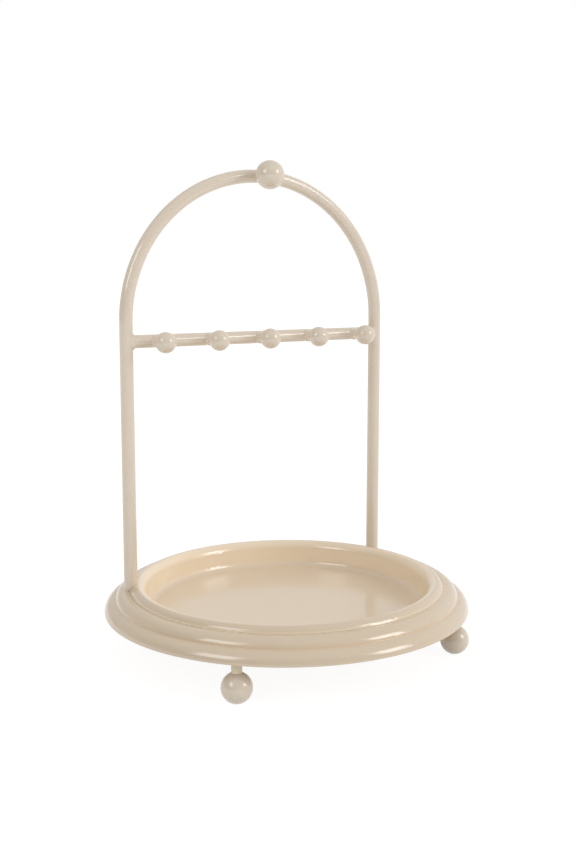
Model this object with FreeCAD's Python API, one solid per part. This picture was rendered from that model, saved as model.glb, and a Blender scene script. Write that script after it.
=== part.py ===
import FreeCAD, Part
import math
import os

Vector = FreeCAD.Vector

# All lengths are in millimetres. The origin is on the table under the tray's centre,
# +Z is up and the hooks and the ball on the arch point to the front, along -Y.

# Tray: one round pressing, measured over its enamel
tray_diameter = 177.0
sheet = 1.2
floor_height = 18.0
floor_fillet = 3.5
wall_lean = math.radians(6.0)

# Rim: three rolls that step down and outwards, with a thin bead beside the top one
rim_height = 31.3
rim_depth = 12.8
lip_inside_radius = 3.0
top_roll_radius = 3.2
top_roll_turn = math.radians(14.0)
groove_width = 0.25
bead_radius = 0.55
bead_turn = math.radians(150.0)
bead_drop = 0.25
bead_crease_radius = 0.25
upper_step = 2.8
upper_ledge_flat = 0.85
middle_roll_radius = 4.95
lower_crease_radius = 0.3
lower_crease_inset = 4.95
bottom_roll_radius = 5.8

# Arch: one rod bent into two posts and a half circle
arch_rod_diameter = 6.4
arch_height = 226.3
arch_setback = 29.0
post_inset = 12.7

# Crossbar between the posts
crossbar_diameter = 6.3
crossbar_height = 147.6
weld_leg = 0.8

# Hooks: a ball on a stem, in a row along the front of the crossbar
hook_count = 5
hook_end_gap = 14.4
hook_reach = 12.6
hook_ball_diameter = 10.0

# Ball on the front of the arch's top
finial_reach = 12.3
finial_ball_diameter = 13.8

# Stems of the hooks, of the top ball and of the feet
stem_diameter = 4.8
stem_flare = 0.7
spigot_diameter = 3.0
spigot_depth = 4.0
spigot_end_gap = 0.2
press_fit = 0.02

# Feet: a ball on a stem under the rim
foot_angles = [math.radians(a) for a in (-135.0, -45.0, 45.0, 135.0)]
foot_inset = 5.9
foot_ball_diameter = 13.8
foot_flat_diameter = 3.6

# Fixing of the posts from below, with M4 washers and nuts
thread_diameter = 4.0
thread_past_nut = 1.0
thread_gap = 0.02
rim_hole_diameter = 4.3
washer_diameter = 8.0
washer_bore = 4.3
washer_thickness = 0.8
nut_across_flats = 7.0
nut_height = 3.2

# Spare length of cutting tools past the surface that they cut
overrun = 1.0

# Places that follow from the sizes
tray_radius = tray_diameter / 2
arch_rod_radius = arch_rod_diameter / 2
crossbar_radius = crossbar_diameter / 2
stem_radius = stem_diameter / 2
rim_edge_height = rim_height - rim_depth
upper_ledge_height = rim_height - upper_step
ledge_underside = upper_ledge_height - sheet
post_circle = tray_radius - post_inset
arch_half_width = math.sqrt(post_circle ** 2 - arch_setback ** 2)
arch_spring_height = arch_height - arch_half_width
hook_span = arch_half_width - hook_end_gap
foot_circle = tray_radius - foot_inset
foot_ball_height = math.sqrt((foot_ball_diameter / 2) ** 2 - (foot_flat_diameter / 2) ** 2)

up = Vector(0, 0, 1)
front = Vector(0, -1, 0)
right = Vector(1, 0, 0)


# Outlines of the tray, in radius and height
class Outline:
    """A run of straight lines and arcs in the plane y = 0, x being the radius."""

    def __init__(self, radius, height):
        self.start = self.end = Vector(radius, 0, height)
        self.edges = []

    def line(self, radius, height):
        point = Vector(radius, 0, height)
        if point.distanceToPoint(self.end) > Part.Precision.confusion():
            self.edges.append(Part.LineSegment(self.end, point).toShape())
            self.end = point
        return self

    def arc(self, radius, height, size, first, last):
        """An arc of the given size about a centre, from one angle to another."""
        def at(angle):
            return Vector(radius + size * math.cos(angle), 0, height + size * math.sin(angle))
        self.line(at(first).x, at(first).z)
        middle = at((first + last) / 2)
        self.edges.append(Part.Arc(self.end, middle, at(last)).toShape())
        self.end = at(last)
        return self

    def revolve(self):
        self.line(self.start.x, self.start.z)
        face = Part.Face(Part.Wire(self.edges))
        return face.revolve(Vector(0, 0, 0), up, 360)


# Centres of the rolls, worked inwards from the tray's outer edge
quarter = math.pi / 2
bottom_roll = (tray_radius - bottom_roll_radius, rim_edge_height)
lower_crease_circle = tray_radius - lower_crease_inset
over_bottom_roll = math.sqrt((bottom_roll_radius + lower_crease_radius) ** 2
                             - (lower_crease_circle - bottom_roll[0]) ** 2)
lower_crease = (lower_crease_circle, bottom_roll[1] + over_bottom_roll)
bottom_start = math.atan2(over_bottom_roll, lower_crease_circle - bottom_roll[0])
middle_height = upper_ledge_height - middle_roll_radius
middle_end = math.asin((lower_crease[1] - middle_height) / (middle_roll_radius + lower_crease_radius))
middle_reach = (middle_roll_radius + lower_crease_radius) * math.cos(middle_end)
middle_roll = (lower_crease[0] - middle_reach, middle_height)
upper_crease = (middle_roll[0] - upper_ledge_flat, upper_ledge_height + bead_crease_radius)
bead_end = math.asin(bead_drop / (bead_radius + bead_crease_radius))
bead_reach = (bead_radius + bead_crease_radius) * math.cos(bead_end)
bead = (upper_crease[0] - bead_reach, upper_crease[1] - bead_drop)
top_roll = (bead[0] - bead_radius - groove_width - top_roll_radius, rim_height - top_roll_radius)
lip_radius = lip_inside_radius + sheet
lip = (top_roll[0], rim_height - lip_radius)
fillet_height = floor_height + floor_fillet
fillet_rise = (lip[1] - fillet_height) * math.sin(wall_lean)
fillet_reach = (lip_radius + floor_fillet + fillet_rise) / math.cos(wall_lean)
fillet = (lip[0] - fillet_reach, fillet_height)


def add_upper_surface(outline):
    """From the tray's axis over the floor, wall and rim to the rim's lower edge."""
    outline.arc(*fillet, floor_fillet, -quarter, -wall_lean)
    outline.arc(*lip, lip_radius, math.pi - wall_lean, quarter)
    outline.arc(*top_roll, top_roll_radius, quarter, top_roll_turn)
    outline.arc(*bead, bead_radius, bead_turn, bead_end)
    outline.arc(*upper_crease, bead_crease_radius, math.pi + bead_end, math.pi + quarter)
    outline.arc(*middle_roll, middle_roll_radius, quarter, middle_end)
    outline.arc(*lower_crease, lower_crease_radius, math.pi + middle_end, math.pi + bottom_start)
    outline.arc(*bottom_roll, bottom_roll_radius, bottom_start, 0)
    return outline


def add_underside(outline):
    """Back from the rim's lower edge to the tray's axis, one sheet further in."""
    inner_top_radius = top_roll_radius - sheet
    outline.arc(*bottom_roll, bottom_roll_radius - sheet, 0, bottom_start)
    outline.arc(*lower_crease, lower_crease_radius + sheet, math.pi + bottom_start, math.pi + middle_end)
    outline.arc(*middle_roll, middle_roll_radius - sheet, middle_end, quarter)
    outline.line(top_roll[0] + inner_top_radius, ledge_underside)
    outline.arc(*top_roll, inner_top_radius, 0, quarter)
    outline.arc(*lip, lip_inside_radius, quarter, math.pi - wall_lean)
    outline.arc(*fillet, floor_fillet + sheet, -wall_lean, -quarter)
    return outline


def tray_body():
    """The pressing before its two holes are drilled."""
    outline = add_upper_surface(Outline(0, floor_height))
    add_underside(outline)
    outline.line(0, floor_height - sheet)
    return outline.revolve()


def under_rim_top():
    """All the room below the tray's upper surface, which the posts' ends are coped by."""
    outline = add_upper_surface(Outline(0, floor_height))
    outline.line(outline.end.x, 0)
    outline.line(0, 0)
    return outline.revolve()


def cylinder(radius, start, direction, length):
    return Part.makeCylinder(radius, length, start, direction)


def ball(diameter, centre):
    return Part.makeSphere(diameter / 2, centre)


def largest(shape):
    return max(shape.Solids, key=lambda solid: solid.Volume)


def lowest(shape):
    return min(shape.Solids, key=lambda solid: solid.BoundBox.ZMin)


def post_feet():
    return [Vector(side * arch_half_width, arch_setback, 0) for side in (-1, 1)]


def make_tray():
    tray = tray_body()
    for foot in post_feet():
        tray = tray.cut(cylinder(rim_hole_diameter / 2, foot, up, rim_height + overrun))
    return tray


# Arch
def arch_rod():
    """The bent rod, with its lower ends still reaching down into the rim."""
    left, right_foot = [foot + up * upper_ledge_height for foot in post_feet()]
    post_length = arch_spring_height - upper_ledge_height
    left_post = cylinder(arch_rod_radius, left, up, post_length)
    right_post = cylinder(arch_rod_radius, right_foot, up, post_length)
    left_spring = Vector(left.x, arch_setback, arch_spring_height)
    section = Part.Face(Part.Wire(Part.Circle(left_spring, up, arch_rod_radius).toShape()))
    bend = section.revolve(Vector(0, arch_setback, arch_spring_height), -front, 180)
    return left_post.fuse([bend, right_post]).removeSplitter()


def make_arch(rod):
    arch = largest(rod.cut(under_rim_top()))
    for foot in post_feet():
        tip = foot + up * (nut_bottom() - thread_past_nut)
        arch = arch.fuse(cylinder(thread_diameter / 2, tip, up, rim_height - tip.z))
    arch = arch.cut(spigot_hole(Vector(0, arch_setback, arch_height), arch_rod_radius))
    return largest(arch.removeSplitter())


# Stems and their sockets
def spigot_hole(axis_point, rod_radius):
    """A blind hole in the front of a rod whose axis passes through the point."""
    depth = spigot_depth + spigot_end_gap
    start = axis_point + front * (rod_radius + overrun)
    return cylinder(spigot_diameter / 2 + press_fit, start, -front, overrun + depth)


def make_stem(axis_point, rod_radius, rod, reach):
    """A stem that ends at a ball's centre, flared and coped where it meets the rod."""
    flare_radius = stem_radius + stem_flare
    profile = Outline(0, 0)
    profile.line(flare_radius, 0)
    profile.arc(flare_radius, rod_radius + stem_flare, stem_flare, -quarter, -math.pi)
    profile.line(stem_radius, reach)
    profile.line(0, reach)
    stem = profile.revolve()
    stem.rotate(Vector(0, 0, 0), right, 90)
    stem.translate(axis_point)
    stem = largest(stem.cut(rod))
    spigot_start = axis_point + front * (rod_radius - spigot_depth)
    spigot = cylinder(spigot_diameter / 2, spigot_start, front, reach - rod_radius + spigot_depth)
    return stem.fuse(spigot).removeSplitter()


def make_hook_ball(centre, diameter):
    """A ball with a blind bore from the back, down to just past its centre."""
    start = centre + front * spigot_end_gap
    return ball(diameter, centre).cut(cylinder(stem_radius + press_fit, start, -front, diameter))


# Crossbar
def crossbar_core():
    start = Vector(-arch_half_width, arch_setback, crossbar_height)
    return cylinder(crossbar_radius, start, right, 2 * arch_half_width)


def weld_flare(side):
    """The flare at one end of the crossbar, as wide as the bar and taller above and below."""
    to_post = arch_half_width - arch_rod_radius
    profile = Outline(0, to_post - weld_leg)
    profile.arc(crossbar_radius + weld_leg, to_post - weld_leg, weld_leg, math.pi, quarter)
    profile.line(crossbar_radius + weld_leg, arch_half_width)
    profile.line(0, arch_half_width)
    flare = profile.revolve()
    flare.rotate(Vector(0, 0, 0), Vector(0, 1, 0), side * 90)
    flare.translate(Vector(0, arch_setback, crossbar_height))
    corner = Vector(-tray_radius, arch_setback - crossbar_radius, 0)
    slab = Part.makeBox(tray_diameter, crossbar_diameter, arch_height, corner)
    return flare.common(slab)


def make_crossbar(rod):
    bar = crossbar_core().fuse([weld_flare(-1), weld_flare(1)]).cut(rod)
    bar = largest(bar).removeSplitter()
    for place in hook_places():
        bar = bar.cut(spigot_hole(place, crossbar_radius))
    return bar


def hook_places():
    """Where each hook's stem starts, on the crossbar's axis, from left to right."""
    pitch = 2 * hook_span / (hook_count - 1)
    return [Vector(-hook_span + number * pitch, arch_setback, crossbar_height)
            for number in range(hook_count)]


# Feet
def foot_place(angle):
    return Vector(foot_circle * math.cos(angle), foot_circle * math.sin(angle), foot_ball_height)


def make_foot_stem(angle, tray):
    """A stem from the ball's centre up into the corner under the rim."""
    start = foot_place(angle)
    stem = cylinder(stem_radius, start, up, ledge_underside - start.z)
    return lowest(stem.cut(tray))


def make_foot_ball(angle):
    centre = foot_place(angle)
    table = Part.makeBox(tray_diameter, tray_diameter, overrun + foot_ball_diameter,
                         Vector(centre.x - tray_radius, centre.y - tray_radius,
                                -overrun - foot_ball_diameter))
    bore = cylinder(stem_radius + press_fit, centre - up * spigot_end_gap, up, foot_ball_diameter)
    return ball(foot_ball_diameter, centre).cut([table, bore])


# Fasteners under the posts
def washer_top():
    """The height at which a washer's outer edge meets the rim's underside."""
    past_centre = max(post_circle + washer_diameter / 2 - middle_roll[0], 0)
    return middle_roll[1] + math.sqrt((middle_roll_radius - sheet) ** 2 - past_centre ** 2)


def nut_bottom():
    return washer_top() - washer_thickness - nut_height


def make_washers():
    washers = []
    for foot in post_feet():
        start = foot + up * (washer_top() - washer_thickness)
        disc = cylinder(washer_diameter / 2, start, up, washer_thickness)
        washers.append(disc.cut(cylinder(washer_bore / 2, start, up, washer_thickness)))
    return Part.makeCompound(washers)


def make_nuts():
    nuts = []
    corner_radius = nut_across_flats / 2 / math.cos(math.pi / 6)
    for foot in post_feet():
        start = foot + up * nut_bottom()
        corners = [start + Vector(corner_radius * math.cos(k * math.pi / 3),
                                  corner_radius * math.sin(k * math.pi / 3), 0)
                   for k in range(7)]
        block = Part.Face(Part.makePolygon(corners)).extrude(up * nut_height)
        bore = cylinder(thread_diameter / 2 + thread_gap, start, up, nut_height)
        nuts.append(block.cut(bore))
    return Part.makeCompound(nuts)


def make_parts():
    parts = {}
    rod = arch_rod()
    parts["tray"] = make_tray()
    parts["arch"] = make_arch(rod)
    parts["crossbar"] = make_crossbar(rod)
    for number, place in enumerate(hook_places(), start=1):
        ball_centre = place + front * hook_reach
        parts[f"peg_stem_{number}"] = make_stem(place, crossbar_radius, crossbar_core(), hook_reach)
        parts[f"hook_ball_{number}"] = make_hook_ball(ball_centre, hook_ball_diameter)
    apex = Vector(0, arch_setback, arch_height)
    parts["finial_stem"] = make_stem(apex, arch_rod_radius, rod, finial_reach)
    parts["finial_ball"] = make_hook_ball(apex + front * finial_reach, finial_ball_diameter)
    for number, angle in enumerate(foot_angles, start=1):
        parts[f"foot_stem_{number}"] = make_foot_stem(angle, parts["tray"])
        parts[f"foot_ball_{number}"] = make_foot_ball(angle)
    parts["post_washers"] = make_washers()
    parts["post_nuts"] = make_nuts()
    return parts


os.makedirs("parts", exist_ok=True)
for node, shape in make_parts().items():
    shape.exportStep(f"parts/{node}.step")
    box = shape.BoundBox
    print(f"{node}: {len(shape.Solids)} solid(s), {shape.Volume:.1f} mm3, valid {shape.isValid()}, "
          f"z {box.ZMin:.2f} to {box.ZMax:.2f}")
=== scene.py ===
# %% [markdown]
# A jewelry display rack: a round footed tray, an arch of bent rod that stands on it, and a
# crossbar with five ball-ended hooks. All of it wears one coat of glossy cream enamel.
# The metal frame arrives ready made, in metres, with every piece as a mesh of its own. It
# could be modelled again here, but then it might no longer fit the part that it belongs to.
# So this lesson only dresses it: it mixes the enamel, paints the pieces, and then sets up
# the camera, the table, the room and the lamps.

# %% Load the frame
import math
import bpy
from mathutils import Matrix, Vector


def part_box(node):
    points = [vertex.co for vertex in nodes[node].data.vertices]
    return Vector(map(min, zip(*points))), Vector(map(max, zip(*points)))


MM = 0.001
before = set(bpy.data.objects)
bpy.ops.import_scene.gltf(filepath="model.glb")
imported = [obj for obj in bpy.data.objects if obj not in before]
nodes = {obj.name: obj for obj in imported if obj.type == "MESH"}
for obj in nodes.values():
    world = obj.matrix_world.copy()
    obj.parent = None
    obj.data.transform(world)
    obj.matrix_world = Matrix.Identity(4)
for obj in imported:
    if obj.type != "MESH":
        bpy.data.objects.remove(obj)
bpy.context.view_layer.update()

# %% [markdown]
# A finish is a tree of shader nodes. It could be wired up by hand, or with one call for
# every node and every link, and both are hard to read back. Here one small class wraps a
# socket, so that sums of sockets read as sums do on paper.

# %% A socket that can be added, subtracted and multiplied
class Wire:
    """One output of a node. Arithmetic on it adds Math nodes to the same tree."""

    def __init__(self, finish, socket):
        self.finish = finish
        self.socket = socket

    def maths(self, operation, first, second=0.0):
        return self.finish.add("ShaderNodeMath", {"operation": operation}, {0: first, 1: second})

    def __add__(self, other):
        return self.maths("ADD", self, other)

    def __sub__(self, other):
        return self.maths("SUBTRACT", self, other)

    def __rsub__(self, other):
        return self.maths("SUBTRACT", other, self)

    def __mul__(self, other):
        return self.maths("MULTIPLY", self, other)

    def __abs__(self):
        return self.maths("ABSOLUTE", self)

    def or_larger(self, other):
        return self.maths("MAXIMUM", self, other)

    __radd__ = __add__
    __rmul__ = __mul__


print("a wire can be added, subtracted and multiplied")

# %% [markdown]
# The other half of the helper is the tree itself. One method makes any node from its type,
# its settings and its inputs. The few nodes that every finish of the rack needs have a
# short method each, so that no finish has to know their socket numbers.

# %% A node tree that is filled with short calls
class Finish:
    """The node tree of a new material, or of the world behind the rack, emptied first."""

    def __init__(self, name, owner=None):
        self.owner = owner or bpy.data.materials.new(name)
        self.owner.use_nodes = True
        self.tree = self.owner.node_tree
        self.tree.nodes.clear()

    def add(self, kind, settings=None, sockets=None, output=0):
        """Make one node, fill or link its inputs, and hand back one of its outputs."""
        node = self.tree.nodes.new(kind)
        for key, value in (settings or {}).items():
            setattr(node, key, value)
        for key, value in (sockets or {}).items():
            if isinstance(value, Wire):
                self.tree.links.new(value.socket, node.inputs[key])
            else:
                node.inputs[key].default_value = value
        return Wire(self, node.outputs[output] if node.outputs else None)

    def place(self):
        """Where a point is, in metres from the spot on the table under the tray's middle."""
        return self.add("ShaderNodeTexCoord", output="Object")

    def noise(self, place, scale, detail):
        """Soft random patches, as many to a metre as the scale says."""
        return self.add("ShaderNodeTexNoise", {}, {"Vector": place, "Scale": scale, "Detail": detail})

    def measure(self, operation, *vectors):
        """One number from one or two vectors, such as a length or a dot product."""
        inputs = dict(enumerate(vectors))
        return self.add("ShaderNodeVectorMath", {"operation": operation}, inputs, "Value")

    def smooth_step(self, value, low, high):
        """0 below low, 1 above high, with a soft passage between."""
        return self.add("ShaderNodeMapRange", {"interpolation_type": "SMOOTHSTEP"},
                        {"Value": value, "From Min": low, "From Max": high})

    def mix(self, amount, first, second, blend="MIX"):
        """A colour between two colours, or their product by the same amount."""
        return self.add("ShaderNodeMix", {"data_type": "RGBA", "blend_type": blend},
                        {0: amount, 6: first, 7: second}, 2)

    def mix_shaders(self, share, first, second):
        return self.add("ShaderNodeMixShader", {}, {0: share, 1: first, 2: second})

    def done(self, shader):
        """Give the shader to the surface, and hand back the material."""
        self.add("ShaderNodeOutputMaterial", {}, {"Surface": shader})
        return self.owner


print("a finish is ready to be filled")

# %% [markdown]
# Enamel is a glassy coat, baked on the metal. Close up it shows three things: a clear
# gloss, a very soft waviness left by the flow of the coat, and a body colour that is never
# quite even. A plain glossy colour misses the last two, and a painted picture would need
# every piece unwrapped. So noise in the piece's own coordinates drives a small bump, a
# small change of tint and a few duller patches. The refractive index is set higher than
# that of real enamel, about 1.5, because the highlights came out too weak with that.

# %% The enamel that all pieces share
GLASS_INDEX = 1.75
WARMER = (0.985, 0.968, 0.945, 1.0)
tint_scale = 28.0
tint_detail = 3.0
swell_scale = 60.0
ripple_scale = 620.0
ripple_share = 0.03
flow_detail = 1.0
flow_depth = 0.09 * MM
flow_strength = 0.3
dull_scale = 55.0
dull_detail = 4.0
dull_starts, dull_ends = 0.45, 0.75
dull_gain = 0.05
only_level = (1.0, 1.0, 0.0)


class Enamel(Finish):
    """The enamel of one kind of piece, with its own cream and its own lines in it."""

    def __init__(self, name):
        super().__init__(name)
        self.spot = self.place()

    def along(self, axis):
        return self.add("ShaderNodeSeparateXYZ", {}, {0: self.spot}, axis)

    def from_axis(self):
        """Distance from the upright line through the middle of the tray."""
        level_spot = self.add("ShaderNodeVectorMath", {"operation": "MULTIPLY"},
                              {0: self.spot, 1: only_level})
        return self.measure("LENGTH", level_spot)

    def line(self, along, where, width):
        """1 where the coordinate is at the given place, fading to 0 at the width."""
        return 1 - self.smooth_step(abs(along - where), 0.0, width)

    def bake(self, cream, roughness):
        """Lay the cream on with a little drift in its warmth, and give it gloss and flow."""
        tint = self.noise(self.spot, tint_scale, tint_detail)
        swell = self.noise(self.spot, swell_scale, flow_detail)
        ripple = self.noise(self.spot, ripple_scale, flow_detail)
        dull = self.smooth_step(self.noise(self.spot, dull_scale, dull_detail), dull_starts, dull_ends)
        skin = self.add("ShaderNodeBump", {}, {
            "Strength": flow_strength, "Distance": flow_depth, "Height": swell + ripple * ripple_share})
        return self.done(self.add("ShaderNodeBsdfPrincipled", {}, {
            "Base Color": self.mix(tint, cream, WARMER, "MULTIPLY"),
            "Roughness": dull * dull_gain + roughness, "Normal": skin, "IOR": GLASS_INDEX}))


print("enamel with a refractive index of", GLASS_INDEX)

# %% [markdown]
# The tray is one round pressing with three rolls as its rim. Its well is painted lighter than
# the rolls, most of all up the wall: that is painted light, standing in for the light thrown
# from cream to cream that the room below lacks. Thicker enamel can do that, and so can light
# thrown from cream to cream, and one picture doesn't tell them apart. The two creases between
# the rolls show as tan lines, a warmer cream that is painted bounce light and lifts the shade
# in them. The groove beside the thin bead is a guess: its lighter cream is painted light that
# softens a dark shade line there. The groove beside the thin bead is a guess too: its lighter
# cream softens a dark line that the photograph doesn't show. All of this goes round in
# circles, so the distance from the middle and the height above the table say where each cream
# goes.

# %% Coat the tray
TRAY_OUTSIDE = (0.742, 0.620, 0.472, 1.0)
# The floor and wall creams are lighter than the outside one: painted light in the well.
FLOOR_CREAM_PAINTED_LIGHT = (0.815, 0.680, 0.520, 1.0)
WALL_CREAM_PAINTED_LIGHT = (0.970, 0.820, 0.628, 1.0)
# Crease cream: painted warm bounce light. Groove cream: painted light over the groove's shade.
CREASE_BOUNCE_CREAM = (0.780, 0.625, 0.450, 1.0)
GROOVE_PAINTED_LIGHT = (0.940, 0.805, 0.620, 1.0)
TRAY_ROUGHNESS = 0.15
tray_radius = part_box("tray")[1].x
crest_inset = 15.7 * MM
crest_fade_inwards = 1.2 * MM
crest_fade_outwards = 0.4 * MM
floor_height = 18.0 * MM
wall_starts_above_floor = 0.2 * MM
wall_full_above_floor = 3.0 * MM
lower_crease_inset = 5.1 * MM
lower_crease_width = 1.2 * MM
upper_crease_inset = 10.9 * MM
upper_crease_width = 0.7 * MM
groove_inset = 12.4 * MM
groove_width = 0.8 * MM


def tray_coat():
    """Painted light: lighter in the well and in the rim's groove, and warm tan in the rim's creases."""
    coat = Enamel("tray_enamel")
    radius = coat.from_axis()
    crest = tray_radius - crest_inset
    inside = 1 - coat.smooth_step(radius, crest - crest_fade_inwards, crest + crest_fade_outwards)
    raised = coat.smooth_step(coat.along("Z"), floor_height + wall_starts_above_floor,
                              floor_height + wall_full_above_floor)
    cream = coat.mix(inside * raised, coat.mix(inside, TRAY_OUTSIDE, FLOOR_CREAM_PAINTED_LIGHT), WALL_CREAM_PAINTED_LIGHT)
    # Painted warm bounce light along the two creases between the rolls.
    crease_bounce = (coat.line(radius, tray_radius - lower_crease_inset, lower_crease_width)
              + coat.line(radius, tray_radius - upper_crease_inset, upper_crease_width))
    # Painted light that lifts the dark shade line in the groove beside the bead.
    groove_light = coat.line(radius, tray_radius - groove_inset, groove_width)
    cream = coat.mix(groove_light, coat.mix(crease_bounce, cream, CREASE_BOUNCE_CREAM), GROOVE_PAINTED_LIGHT)
    return coat.bake(cream, TRAY_ROUGHNESS)


tray_enamel = tray_coat()
print(tray_enamel.name, "for a tray of radius", round(tray_radius / MM, 1), "mm")

# %% [markdown]
# The arch and the crossbar are bare rod, and the hooks, the top and the feet end in balls.
# The coat on them is a little paler and cooler than on the tray. One finish could do for
# all of them. The balls get their own, because the spots of light on them are softer than
# the streaks on the rods.

# %% Coat the rods and the balls
ROD_CREAM = (0.795, 0.695, 0.575, 1.0)
BALL_CREAM = (0.785, 0.688, 0.568, 1.0)
ROD_ROUGHNESS = 0.15
BALL_ROUGHNESS = 0.18
rod_enamel = Enamel("rod_enamel").bake(ROD_CREAM, ROD_ROUGHNESS)
ball_enamel = Enamel("ball_enamel").bake(BALL_CREAM, BALL_ROUGHNESS)
print("enamel finishes:", [finish.name for finish in (rod_enamel, ball_enamel)])

# %% [markdown]
# The nuts and washers that hold the posts under the rim are zinc plated steel: a grey metal
# with a faint satin grain. A plain grey metal would do, as they hardly show, but the rack
# can be turned over. So fine noise gives them the grain in colour, gloss and surface.

# %% Mix the zinc
ZINC_DARK = (0.56, 0.57, 0.59, 1.0)
ZINC_LIGHT = (0.70, 0.70, 0.68, 1.0)
zinc_roughness = 0.25
zinc_roughness_gain = 0.2
grain_scale = 900.0
grain_detail = 3.0
grain_depth = 0.02 * MM
grain_strength = 0.3


def zinc_plate():
    plate = Finish("zinc_steel")
    grain = plate.noise(plate.place(), grain_scale, grain_detail)
    skin = plate.add("ShaderNodeBump", {}, {
        "Strength": grain_strength, "Distance": grain_depth, "Height": grain})
    return plate.done(plate.add("ShaderNodeBsdfPrincipled", {}, {
        "Base Color": plate.mix(grain, ZINC_DARK, ZINC_LIGHT), "Metallic": 1.0,
        "Roughness": grain * zinc_roughness_gain + zinc_roughness, "Normal": skin}))


zinc_steel = zinc_plate()
print("metal finish:", zinc_steel.name)

# %% [markdown]
# Each ball sits on a stem. A fine dark tan ring runs round the stem where it enters the
# ball. It could be a thin wire of its own, but it is only a colour, so it is a line in the
# stem's enamel. The ball's box ends where its bore begins, which is the place of the ring.

# %% Coat the stems
# The foot stems' cream is lighter and warmer than the rods': painted warm bounce light from the rim
# above them.
FOOT_STEM_BOUNCE_CREAM = (0.860, 0.745, 0.545, 1.0)
# A dark tan ring on the stem where it enters the ball.
SEAM_TAN = (0.42, 0.30, 0.175, 1.0)
seam_width = 0.45 * MM
seam_strength = 0.75


def stem_coat(name, cream, axis, seam):
    coat = Enamel(name)
    ring = coat.line(coat.along(axis), seam, seam_width) * seam_strength
    return coat.bake(coat.mix(ring, cream, SEAM_TAN), ROD_ROUGHNESS)


foot_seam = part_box("foot_ball_1")[1].z
hook_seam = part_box("hook_ball_1")[1].y
finial_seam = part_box("finial_ball")[1].y
foot_stem_enamel = stem_coat("foot_stem_enamel", FOOT_STEM_BOUNCE_CREAM, "Z", foot_seam)
hook_stem_enamel = stem_coat("hook_stem_enamel", ROD_CREAM, "Y", hook_seam)
finial_stem_enamel = stem_coat("finial_stem_enamel", ROD_CREAM, "Y", finial_seam)
print("seams in mm:", [round(seam / MM, 2) for seam in (foot_seam, hook_seam, finial_seam)])

# %% [markdown]
# Every piece of the frame now gets its finish. Pieces of one kind differ only by a number
# at the end of the name, so the name without it says which finish belongs to the piece.

# %% Paint the frame
finish_of = {"tray": tray_enamel, "arch": rod_enamel, "crossbar": rod_enamel,
             "peg_stem": hook_stem_enamel, "hook_ball": ball_enamel,
             "finial_stem": finial_stem_enamel, "finial_ball": ball_enamel,
             "foot_stem": foot_stem_enamel, "foot_ball": ball_enamel,
             "post_washers": zinc_steel, "post_nuts": zinc_steel}
for name, piece in nodes.items():
    kind = name.rstrip("0123456789").rstrip("_")
    for slot in piece.material_slots:
        slot.material = finish_of[kind]
print("painted", len(nodes), "pieces")

# %% [markdown]
# The camera stands to the front left, a little above the tray. It could be placed by eye,
# but then the ellipses of the tray never quite match the photograph. So its place, its
# turn and its lens were worked out from the outlines of the tray, the posts and the balls.
# The lens is given in pixels of the photograph, and so is the centre that it looks through.

# %% Camera
photo_width, photo_height = 576, 864
focal_pixels = 1119.232
centre_across, centre_down = 318.0, 410.316
camera_place = Vector((-0.26702, -0.46237, 0.18777))
sensor_millimetres = 36.0
nearest_seen = 10.0 * MM
yaw, pitch, roll = (math.radians(angle) for angle in (-31.5914, 7.8530, 0.2240))
back = Vector((math.sin(yaw) * math.cos(pitch), -math.cos(yaw) * math.cos(pitch), math.sin(pitch)))
level = Vector((math.cos(yaw), math.sin(yaw), 0.0))
upright = back.cross(level)
right = level * math.cos(roll) + upright * math.sin(roll)
top = upright * math.cos(roll) - level * math.sin(roll)

eye = bpy.data.objects.new("camera", bpy.data.cameras.new("camera"))
eye.data.sensor_width = sensor_millimetres
eye.data.lens = focal_pixels * sensor_millimetres / photo_height
eye.data.shift_x = (photo_width / 2 - centre_across) / photo_height
eye.data.shift_y = (centre_down - photo_height / 2) / photo_height
eye.data.clip_start = nearest_seen
eye.matrix_world = Matrix((right, top, back)).transposed().to_4x4()
eye.matrix_world.translation = camera_place
bpy.context.scene.collection.objects.link(eye)
bpy.context.scene.camera = eye
print("lens", round(eye.data.lens, 2), "mm")

# %% [markdown]
# The rack stands on a wide pale sheet that runs out of sight. A sheet lit by the lamps
# alone comes out grey, and brighter lamps would bleach the enamel. So what the camera, a
# mirror or a lens sees of it is mostly pure white. A share of the sheet's own shading is
# left near the rack, which keeps the soft shadow under the tray, and fades out further off.

# %% Table
PALE = (0.92, 0.92, 0.92, 1.0)
PURE_WHITE = (1.0, 1.0, 1.0, 1.0)
white_strength = 1.12
white_share_near = 0.82
shadow_fades_from, shadow_fades_to = 0.16, 0.5
table_half_width = 6.0


def table_finish():
    sheet = Finish("pale_table")
    far = sheet.smooth_step(sheet.measure("LENGTH", sheet.place()), shadow_fades_from, shadow_fades_to)
    by_camera, by_mirror, by_lens = (
        sheet.add("ShaderNodeLightPath", output=ray)
        for ray in ("Is Camera Ray", "Is Glossy Ray", "Is Transmission Ray"))
    seen = by_camera.or_larger(by_mirror).or_larger(by_lens)
    share = far * (1 - white_share_near) + white_share_near
    shaded = sheet.add("ShaderNodeBsdfDiffuse", {}, {"Color": PALE})
    white = sheet.add("ShaderNodeEmission", {}, {"Color": PURE_WHITE, "Strength": white_strength})
    return sheet.done(sheet.mix_shaders(seen * share, shaded, white))


def flat_sheet(name, half):
    """A square sheet at the height of the rack's feet."""
    corners = [(-half, -half, 0), (half, -half, 0), (half, half, 0), (-half, half, 0)]
    mesh = bpy.data.meshes.new(name)
    mesh.from_pydata(corners, [], [range(len(corners))])
    sheet = bpy.data.objects.new(name, mesh)
    bpy.context.scene.collection.objects.link(sheet)
    return sheet


table = flat_sheet("table", table_half_width)
table.data.materials.append(table_finish())
print("table", 2 * table_half_width, "m wide")

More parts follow.
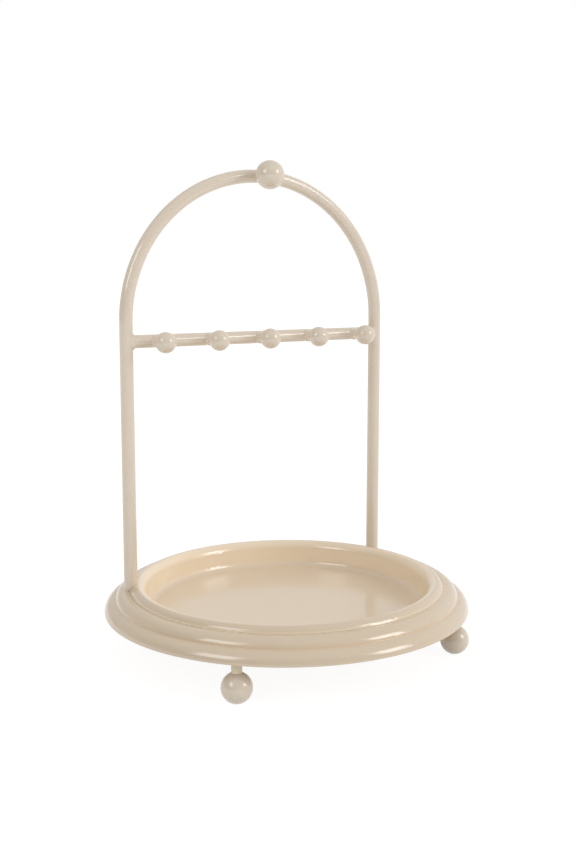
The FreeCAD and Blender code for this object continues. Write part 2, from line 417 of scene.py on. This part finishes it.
# %% [markdown]
# Besides the lamps, the rack is lit like a thing in a pale room. The room could be built as
# walls, but only its light matters. So the world gives each direction its strength: the
# ceiling, bright walls behind the rack, dim ones behind the camera, and a little more light
# from the right than from the left. The camera itself sees plain white instead.

# %% Room
ROOM_LIGHT = (1.0, 0.985, 0.965, 1.0)
ceiling, front_walls, back_walls, right_wall = 0.70, 0.33, 0.82, 0.26
ceiling_starts, ceiling_full = 0.5, 0.85
front_starts, front_full = -0.5, 0.5
ahead = Vector((-math.sin(yaw), math.cos(yaw), 0.0))


def strength_by_direction(room):
    towards = room.add("ShaderNodeTexCoord")
    in_front = room.smooth_step(room.measure("DOT_PRODUCT", towards, -ahead), front_starts, front_full)
    rightward = room.measure("DOT_PRODUCT", towards, level)
    height = room.add("ShaderNodeSeparateXYZ", {}, {0: towards}, "Z")
    overhead = room.smooth_step(height, ceiling_starts, ceiling_full)
    around = in_front * front_walls + (1 - in_front) * back_walls + rightward * right_wall
    return overhead * ceiling + (1 - overhead) * around


bpy.context.scene.world = bpy.data.worlds.new("studio")
room = Finish("studio", bpy.context.scene.world)
fill = room.add("ShaderNodeBackground", {}, {
    "Color": ROOM_LIGHT, "Strength": strength_by_direction(room)})
paper = room.add("ShaderNodeBackground", {}, {"Color": PURE_WHITE})
by_camera = room.add("ShaderNodeLightPath", output="Is Camera Ray")
room.add("ShaderNodeOutputWorld", {}, {"Surface": room.mix_shaders(by_camera, fill, paper)})
print("room ready:", bpy.context.scene.world.name)

# %% [markdown]
# Two soft boxes light the rack, a bright one on the right and a dimmer one on the left. On
# each ball they show as two small soft spots, and along the rolls of the rim as two
# streaks. Where those lie in the photograph says where the boxes stood, and how long they
# are says how wide the boxes look from the rack.

# %% Lamps
aim = Vector((0.0, 0.0, 100.0 * MM))


def soft_box(name, azimuth, distance, height, size, radiance):
    """A square lamp. The azimuth is counted in degrees from the camera to the right."""
    around = yaw + math.radians(azimuth)
    place = Vector((math.sin(around) * distance, -math.cos(around) * distance, height))
    lamp = bpy.data.lights.new(name, "AREA")
    lamp.shape = "SQUARE"
    lamp.size = size
    lamp.energy = radiance * math.pi * size ** 2
    holder = bpy.data.objects.new(name, lamp)
    holder.rotation_euler = (place - aim).to_track_quat("Z", "Y").to_euler()
    holder.location = place
    holder.visible_camera = False
    bpy.context.scene.collection.objects.link(holder)
    return lamp


right_box = soft_box("right_box", azimuth=70, distance=3.0, height=1.45, size=1.25, radiance=5.1)
left_box = soft_box("left_box", azimuth=-43, distance=1.0, height=0.67, size=0.50, radiance=3.2)
print("lamps:", [(lamp.name, round(lamp.energy, 1), "W") for lamp in (right_box, left_box)])

# %% [markdown]
# A film-like view transform would grey the white and shift the cream, so colours are shown
# as they are.

# %% Finish
bpy.context.scene.view_settings.view_transform = "Standard"
bpy.context.view_layer.update()
